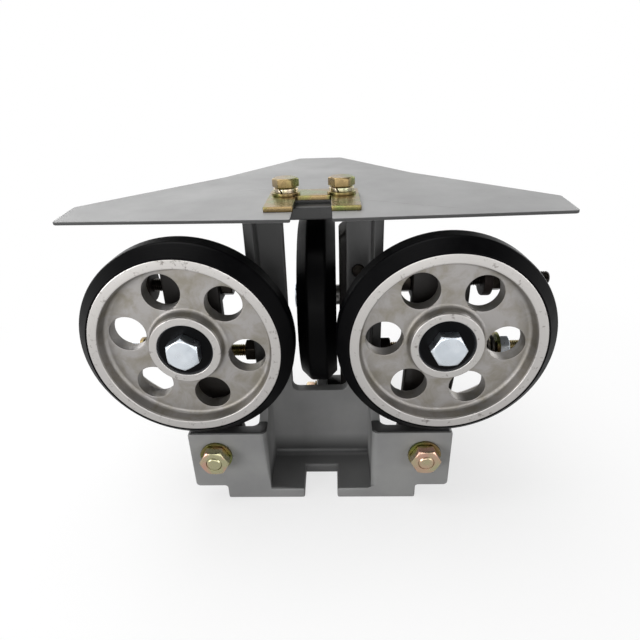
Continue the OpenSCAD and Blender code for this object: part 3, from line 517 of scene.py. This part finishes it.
def thread_tree():
    """Geometry Nodes tree that rolls a thread into a rod along Z: a fine cylinder drawn in along a helix, with a
    chamfer at both ends."""
    tree, given = new_shape("rolled_thread", Crest_radius="Float", Length="Float", Pitch="Float", Depth="Float",
                            Corners="Int", Rows="Int")
    rod = add(tree, "GeometryNodeMeshCylinder", {"Vertices": given["Corners"], "Side Segments": given["Rows"],
                                                 "Radius": 1.0, "Depth": given["Length"]})
    at = add(tree, "ShaderNodeSeparateXYZ", {0: add(tree, "GeometryNodeInputPosition").outputs[0]}).outputs
    angle = add(tree, "ShaderNodeMath", {0: at["Y"], 1: at["X"]}, operation="ARCTAN2")
    lead = add(tree, "ShaderNodeMath", {0: angle.outputs[0], 1: 2 * math.pi}, operation="DIVIDE")
    turn = add(tree, "ShaderNodeMath", {0: at["Z"], 1: given["Pitch"]}, operation="DIVIDE")
    phase = add(tree, "ShaderNodeMath", {0: turn.outputs[0], 1: lead.outputs[0]}, operation="SUBTRACT")
    flank = add(tree, "ShaderNodeMath", {0: phase.outputs[0], 1: 0.5}, operation="PINGPONG")
    groove = add(tree, "ShaderNodeMapRange", {"Value": flank.outputs[0], "From Max": 0.5,
                                              "To Max": given["Depth"]})
    half = add(tree, "ShaderNodeMath", {0: given["Length"], 1: 0.5}, operation="MULTIPLY")
    from_middle = add(tree, "ShaderNodeMath", {0: at["Z"]}, operation="ABSOLUTE")
    to_end = add(tree, "ShaderNodeMath", {0: half.outputs[0], 1: from_middle.outputs[0]}, operation="SUBTRACT")
    chamfer = add(tree, "ShaderNodeMath", {0: given["Depth"], 1: to_end.outputs[0]}, operation="SUBTRACT")
    drawn_in = add(tree, "ShaderNodeMath", {0: groove.outputs[0], 1: chamfer.outputs[0]}, operation="MAXIMUM")
    radius = add(tree, "ShaderNodeMath", {0: given["Crest radius"], 1: drawn_in.outputs[0]}, operation="SUBTRACT")
    x = add(tree, "ShaderNodeMath", {0: at["X"], 1: radius.outputs[0]}, operation="MULTIPLY")
    y = add(tree, "ShaderNodeMath", {0: at["Y"], 1: radius.outputs[0]}, operation="MULTIPLY")
    z = add(tree, "ShaderNodeMath", {0: at["Z"], 1: half.outputs[0]})
    place = add(tree, "ShaderNodeCombineXYZ", {"X": x.outputs[0], "Y": y.outputs[0], "Z": z.outputs[0]})
    cut = add(tree, "GeometryNodeSetPosition", {"Geometry": rod.outputs[0], "Position": place.outputs[0]})
    return close_shape(tree, given, cut.outputs[0])


HELIX = helix_tree()
THREAD = thread_tree()


def grown(tree, material, **sizes):
    """The mesh that a tree makes, its named inputs set by their sockets' identifiers."""
    carrier = bpy.data.objects.new("blank", bpy.data.meshes.new("blank"))
    bpy.context.scene.collection.objects.link(carrier)
    modifier = carrier.modifiers.new("grow", "NODES")
    modifier.node_group = tree
    values = {name.replace("_", " "): value for name, value in sizes.items()} | {"Finish": material}
    for item in tree.interface.items_tree:
        if item.in_out == "INPUT":
            modifier[item.identifier] = values[item.name]
    return baked(carrier)


def along(axis, start):
    """Matrix that lays a piece made along Z on an axis, its foot at start."""
    turn = Vector((0, 0, 1)).rotation_difference(Vector(axis)).to_matrix().to_4x4()
    return Matrix.Translation(start) @ turn


def foot_and_length(node, axis):
    """Where a rod or spring starts on its axis, and how long it is, from its CAD box."""
    low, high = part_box(node)
    middle = (low + high) / 2
    half = abs((high - low).dot(Vector(axis))) / 2
    return middle - Vector(axis) * half, 2 * half


def coil_spring(side):
    """Round-wire compression spring with closed end coils, in the CAD spring's place."""
    node, wire, outside, turns, points_per_turn = f"{side}_spring", 2.5 * MM, 18 * MM, 5.0, 48
    foot, length = foot_and_length(node, ROD_AXIS[side])
    mesh = grown(HELIX, finish_of(node), Helix_radius=(outside - wire) / 2, Length=length, Turns=turns,
                 End_coils=1.0, Wire_radius=wire / 2, Wire_corners=16, Points=int(turns * points_per_turn))
    mesh.transform(along(ROD_AXIS[side], foot))
    mesh.shade_smooth()
    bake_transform(stand_for(mesh, f"{node}_wire", node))


def threaded_stud(node, axis):
    """Stud with a rolled thread over its whole length, its crests at the CAD stud's radius."""
    crest, pitch, rows_per_turn, sharp = 4 * MM, 1.25 * MM, 8, math.radians(40)
    foot, length = foot_and_length(node, axis)
    mesh = grown(THREAD, finish_of(node), Crest_radius=crest, Length=length, Pitch=pitch, Depth=pitch / 2,
                 Corners=32, Rows=int(length / pitch * rows_per_turn))
    mesh.transform(along(axis, foot))
    mesh.set_sharp_from_angle(angle=sharp)
    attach(stand_for(mesh, f"{node}_threaded", node), bodies[node])


for side in SIDES:
    coil_spring(side)
    threaded_stud(f"{side}_spring_rod", ROD_AXIS[side])
    threaded_stud(f"{side}_stop_rod", ROD_AXIS[side])


# Stage

def white_floor():
    """White studio floor: it shows as white to the camera, takes the object's shadow, and in reflections darkens
    towards the object, which shades it."""
    size, near, shadow_reach, shaded_reach = 8.0, 0.1, 0.45, 0.6
    near_white, near_mirrored = 0.7, 0.5
    mesh = bpy.data.meshes.new("floor")
    half = size / 2
    mesh.from_pydata([(-half, -half, 0), (half, -half, 0), (half, half, 0), (-half, half, 0)], [], [(0, 1, 2, 3)])
    floor = bpy.data.objects.new("floor", mesh)
    bpy.context.scene.collection.objects.link(floor)
    material = bpy.data.materials.new("white_paper_floor")
    material.use_nodes = True
    tree = material.node_tree
    tree.nodes.clear()
    ray = add(tree, "ShaderNodeLightPath").outputs
    place = add(tree, "ShaderNodeTexCoord").outputs["Object"]
    away = add(tree, "ShaderNodeVectorMath", {0: place}, operation="LENGTH").outputs["Value"]
    to_camera = add(tree, "ShaderNodeMapRange", {"Value": away, "From Min": near, "From Max": shadow_reach,
                                                 "To Min": near_white, "To Max": 1.0})
    to_metal = add(tree, "ShaderNodeMapRange", {"Value": away, "From Min": near, "From Max": shaded_reach,
                                                "To Min": near_mirrored, "To Max": 1.0})
    in_view = add(tree, "ShaderNodeMath", {0: to_camera.outputs[0], 1: ray["Is Camera Ray"]}, operation="MULTIPLY")
    mirrored = add(tree, "ShaderNodeMath", {0: to_metal.outputs[0], 1: ray["Is Glossy Ray"]}, operation="MULTIPLY")
    share = add(tree, "ShaderNodeMath", {0: in_view.outputs[0], 1: mirrored.outputs[0]}, operation="MAXIMUM")
    # Paper sends little light back up, so the frame's underside and channel keep their shade
    tone = add(tree, "ShaderNodeMix", {0: ray["Is Camera Ray"], MIX_A: linear("#8C8C8C"),
                                       MIX_B: linear("#FAFAFA")}, data_type="RGBA")
    paper = add(tree, "ShaderNodeBsdfDiffuse", {"Color": tone.outputs[MIX_RESULT]})
    glow = add(tree, "ShaderNodeEmission", {"Color": linear("#FFFFFF"), "Strength": 1.0})
    mix = add(tree, "ShaderNodeMixShader", {0: share.outputs[0], 1: paper.outputs[0], 2: glow.outputs[0]})
    add(tree, "ShaderNodeOutputMaterial", {"Surface": mix.outputs[0]})
    mesh.materials.append(material)


def white_world(light):
    """White surroundings: seen as white by the camera, as white walls under a dim ceiling in reflections, and a
    dimmer even fill for the rest."""
    ceiling, wall_top = 0.75, 0.45
    world = bpy.data.worlds.new("studio")
    bpy.context.scene.world = world
    world.use_nodes = True
    tree = world.node_tree
    tree.nodes.clear()
    ray = add(tree, "ShaderNodeLightPath").outputs
    towards = add(tree, "ShaderNodeTexCoord").outputs["Generated"]
    height = add(tree, "ShaderNodeSeparateXYZ", {"Vector": towards}).outputs["Z"]
    walls = add(tree, "ShaderNodeMapRange", {"Value": height, "From Min": ceiling, "From Max": wall_top})
    mirrored = add(tree, "ShaderNodeMath", {0: walls.outputs[0], 1: ray["Is Glossy Ray"]}, operation="MULTIPLY")
    seen = add(tree, "ShaderNodeMath", {0: ray["Is Camera Ray"], 1: mirrored.outputs[0]}, operation="MAXIMUM")
    strength = add(tree, "ShaderNodeMapRange", {"Value": seen.outputs[0], "To Min": light, "To Max": 1.0})
    sky = add(tree, "ShaderNodeBackground", {"Color": linear("#FFFFFF"), "Strength": strength.outputs[0]})
    add(tree, "ShaderNodeOutputWorld", {"Surface": sky.outputs[0]})


def softbox(name, place, aim, size, power):
    """Square area lamp at a place, turned to aim at a point."""
    lamp = bpy.data.lights.new(name, "AREA")
    lamp.shape = "SQUARE"
    lamp.size = size
    lamp.energy = power
    holder = bpy.data.objects.new(name, lamp)
    holder.matrix_world = Matrix.Translation(place) @ (
        (Vector(aim) - Vector(place)).to_track_quat("-Z", "Y").to_matrix().to_4x4())
    bpy.context.scene.collection.objects.link(holder)


def photo_camera():
    """Camera at the photograph's place and angle, fitted to the side rollers' rims, bosses, axle heads and holes
    and to the frame's ears."""
    place = Vector((12.1 * MM, -284.0 * MM, 258.8 * MM))
    yaw, pitch, roll = (math.radians(a) for a in (-2.10, 26.27, -1.86))
    forward = Vector((math.sin(yaw) * math.cos(pitch), math.cos(yaw) * math.cos(pitch), -math.sin(pitch)))
    level = Vector((math.cos(yaw), -math.sin(yaw), 0))
    upright = level.cross(forward)
    right = math.cos(roll) * level + math.sin(roll) * upright
    up = math.cos(roll) * upright - math.sin(roll) * level
    lens = bpy.data.cameras.new("photo_camera")
    lens.sensor_width = 36
    lens.lens = 27.36
    lens.clip_start = 0.01
    camera = bpy.data.objects.new("photo_camera", lens)
    camera.matrix_world = Matrix.Translation(place) @ Matrix((right, up, -forward)).transposed().to_4x4()
    bpy.context.scene.collection.objects.link(camera)
    bpy.context.scene.camera = camera


white_floor()
white_world(light=0.14)
softbox("key_softbox", (-0.3, 0.1, 1.25), aim=(0, 0, 0.1), size=1.0, power=13)
softbox("left_softbox", (-1.0, -1.0, 0.3), aim=(0, 0, 0.1), size=0.6, power=7)
softbox("front_softbox", (0.0, -1.4, 0.3), aim=(0, 0, 0.1), size=0.6, power=3)
softbox("right_softbox", (1.0, -1.0, 0.3), aim=(0, 0, 0.1), size=0.6, power=3)
softbox("back_softbox", (-0.3, 0.9, 0.9), aim=(0, 0, 0.15), size=0.6, power=2)
softbox("back_left_softbox", (-1.1, 1.0, 0.35), aim=(0, 0, 0.1), size=0.6, power=4)
softbox("back_right_softbox", (1.1, 1.0, 0.35), aim=(0, 0, 0.1), size=0.6, power=4)
photo_camera()
bpy.context.scene.view_settings.view_transform = "Standard"
